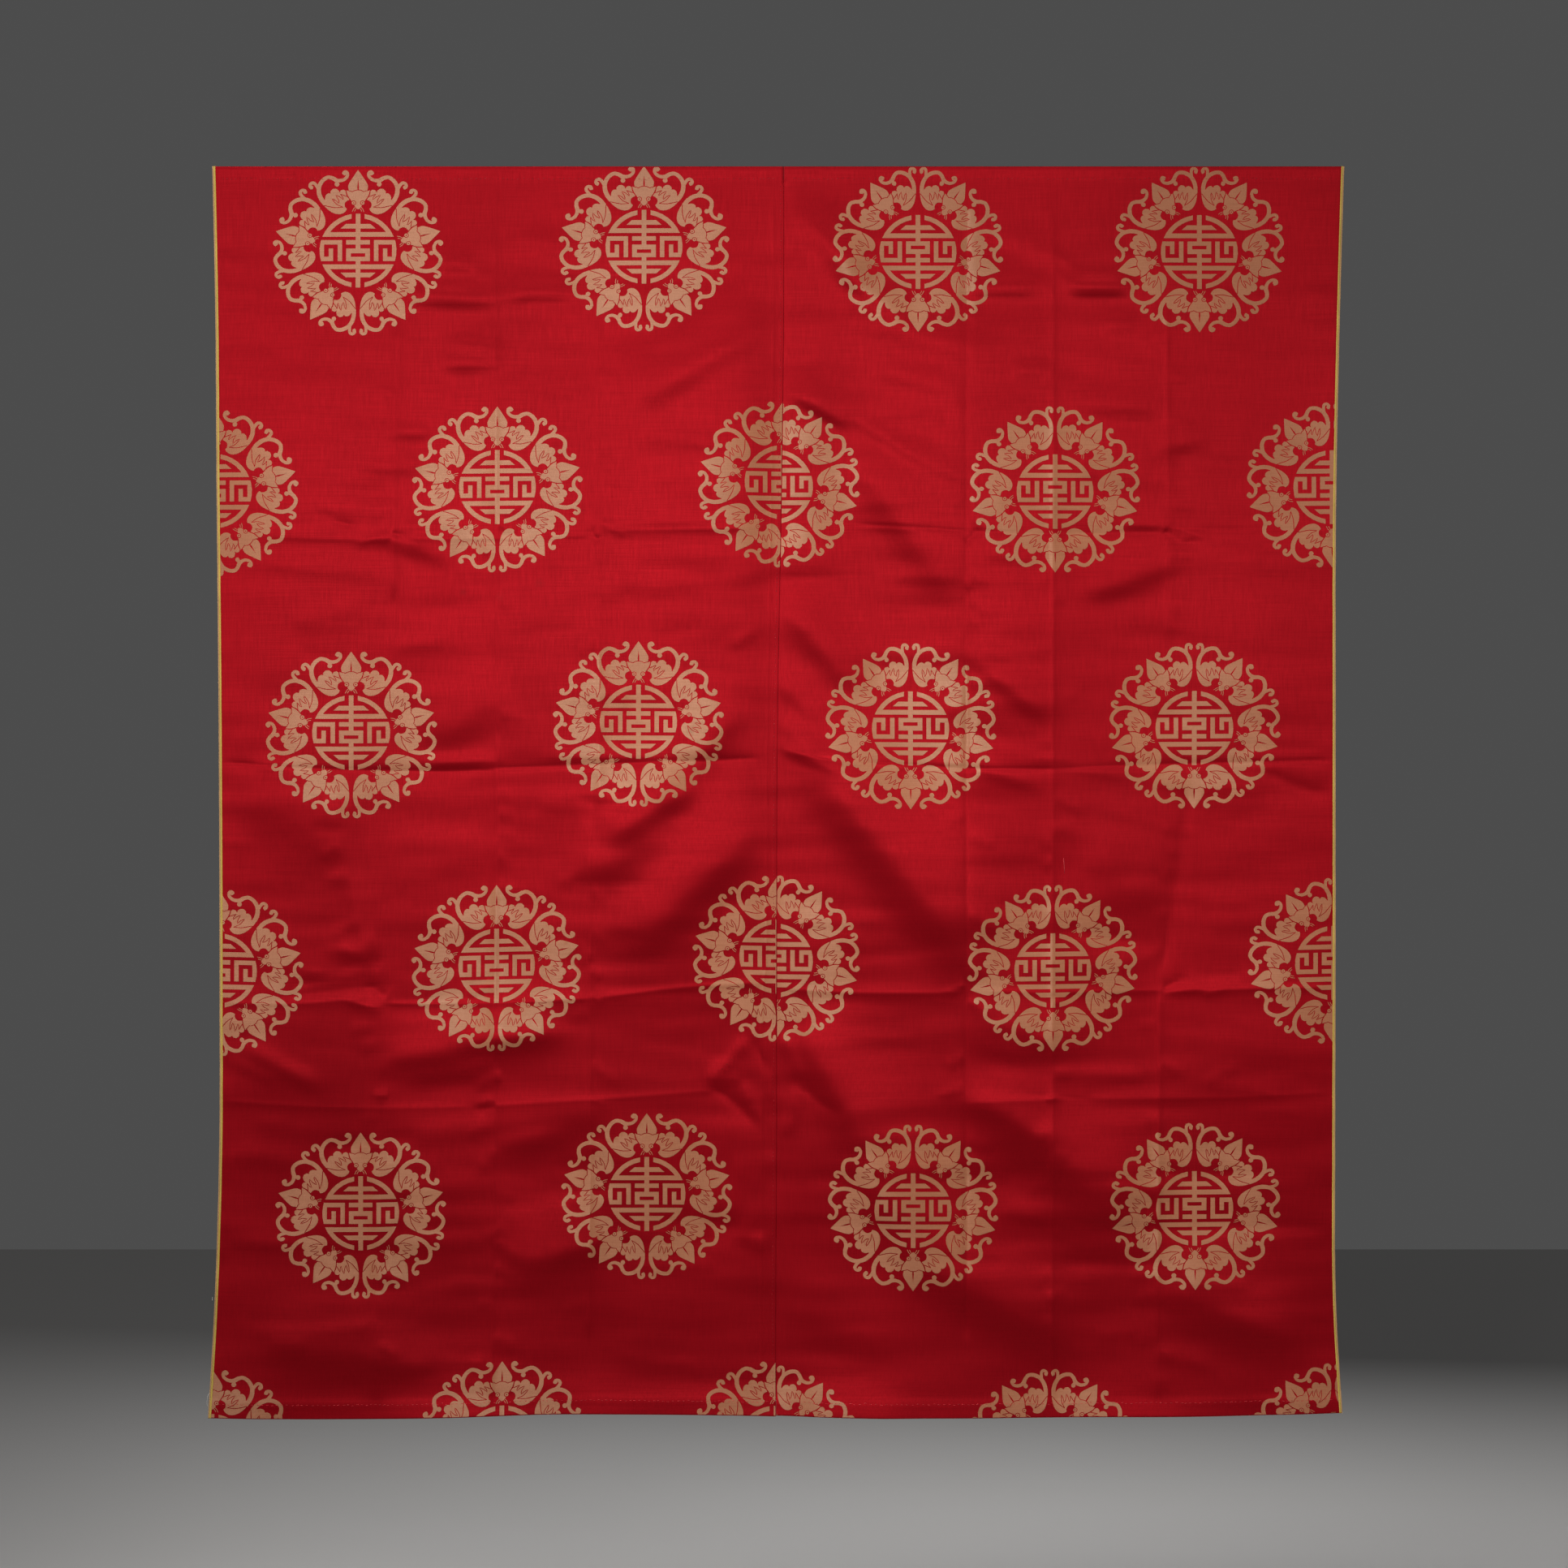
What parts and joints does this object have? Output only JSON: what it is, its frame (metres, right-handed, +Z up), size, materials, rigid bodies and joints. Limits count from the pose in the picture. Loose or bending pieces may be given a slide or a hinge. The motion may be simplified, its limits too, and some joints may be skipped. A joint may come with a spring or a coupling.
{
  "type": "silk panel",
  "caption": "Hanging silk panel of joined loom widths of patterned red satin, lapped and sewn down the middle, with turned hems and woven selvedges.",
  "frame": {"origin": "middle of the top edge, between the front and back layers of the heading hem", "axes": "+Z up, +X to the viewer's right across the panel, -Y out of the patterned face"},
  "size_m": [1.502, 0.0285, 1.6597],
  "materials": {
    "left_width": "red silk satin with woven bronze figure",
    "right_width": "red silk satin with woven bronze figure, turned upside down"
  },
  "bodies": {
    "root": {"left_width": "left_width", "right_width": "right_width"}
  },
  "joints": []
}
